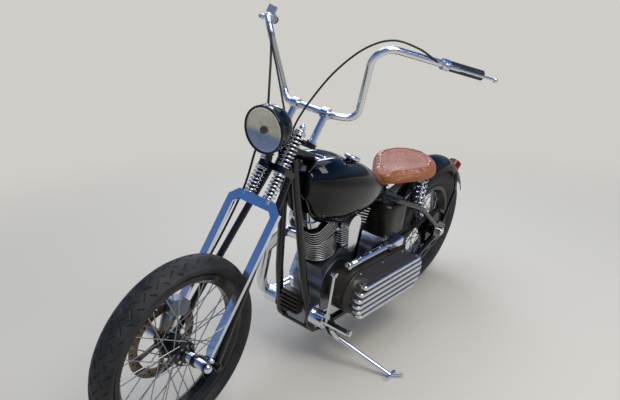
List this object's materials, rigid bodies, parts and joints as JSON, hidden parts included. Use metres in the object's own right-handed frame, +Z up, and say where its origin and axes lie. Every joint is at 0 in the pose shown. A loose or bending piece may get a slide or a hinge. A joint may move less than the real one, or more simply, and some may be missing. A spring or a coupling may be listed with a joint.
{
  "type": "chopper motorcycle",
  "caption": "Chopper motorcycle with a leading-link spring fork, ape-hanger handlebar, finned V-twin engine, wire wheels, rigid-look frame and solo saddle, parked on its side stand",
  "frame": {"origin": "on the floor under the middle of the bounding box", "axes": "+X forward, +Y to the bike's left, +Z up; the bike leans about 10 degrees to its left"},
  "size_m": [2.3692, 1.0688, 1.453],
  "materials": {
    "black_paint": "gloss black paint",
    "chrome": "polished chrome plate",
    "brushed_steel": "brushed steel",
    "engine_metal": "cast aluminium, satin",
    "tyre_rubber": "matt black tyre rubber",
    "black_rubber": "black rubber",
    "tan_leather": "tan leather",
    "lamp_glass": "clear fluted glass",
    "red_plastic": "red lamp plastic"
  },
  "bodies": {
    "frame": {"frame_backbone": "black_paint", "frame_left": "black_paint", "frame_right": "black_paint", "frame_cross_members": "black_paint", "crankcase": "engine_metal", "cylinders": "engine_metal", "rocker_boxes": "chrome", "cam_cover": "chrome", "pushrod_tubes": "chrome", "transmission": "engine_metal", "inner_primary": "engine_metal", "primary_cover": "chrome", "air_cleaner": "chrome", "horn_cover": "chrome", "exhausts": "chrome", "fuel_tank": "black_paint", "tank_cap": "chrome", "saddle": "tan_leather", "seat_mount": "brushed_steel", "oil_tank": "black_paint", "rear_fender": "black_paint", "tail_lamp": "red_plastic", "rear_axle": "chrome", "rear_caliper": "black_paint", "drive_belt": "black_rubber", "left_foot_control": "chrome", "right_foot_control": "chrome", "regulator": "brushed_steel", "stand_bracket": "black_paint"},
    "fork": {"fork_yokes": "black_paint", "rear_fork_legs": "black_paint", "front_fork": "chrome", "fork_springs": "chrome", "fork_rockers": "chrome", "front_axle": "chrome", "front_caliper": "chrome", "handlebar": "chrome", "grips": "black_rubber", "hand_levers": "chrome", "headlight_shell": "black_paint", "headlight_lens": "lamp_glass"},
    "front_wheel": {"front_tyre": "tyre_rubber", "front_rim_and_hub": "chrome", "front_spokes": "chrome", "front_brake_disc": "brushed_steel"},
    "rear_wheel": {"rear_tyre": "tyre_rubber", "rear_rim_and_hub": "chrome", "rear_spokes": "chrome", "rear_brake_disc": "brushed_steel"},
    "side_stand": {"side_stand": "chrome"}
  },
  "joints": [
    {"name": "steering", "type": "hinge", "parent": "frame", "child": "fork", "pos_m": [0.35696, -0.06234, 0.94359], "axis": [-0.5299, 0.1473, 0.8352], "range_deg": [-33, 33]},
    {"name": "front_wheel_spin", "type": "hinge", "parent": "fork", "child": "front_wheel", "pos_m": [0.83814, -0.1682, 0.34321], "axis": [0, 0.9848, -0.1736], "continuous": true},
    {"name": "rear_wheel_spin", "type": "hinge", "parent": "frame", "child": "rear_wheel", "pos_m": [-0.85586, -0.1717, 0.32339], "axis": [0, 0.9848, -0.1736], "continuous": true},
    {"name": "side_stand_pivot", "type": "hinge", "parent": "frame", "child": "side_stand", "pos_m": [0.10514, -0.0386, 0.1453], "axis": [-0.3089, 0.6809, 0.6641], "range_deg": [0, 88]}
  ]
}
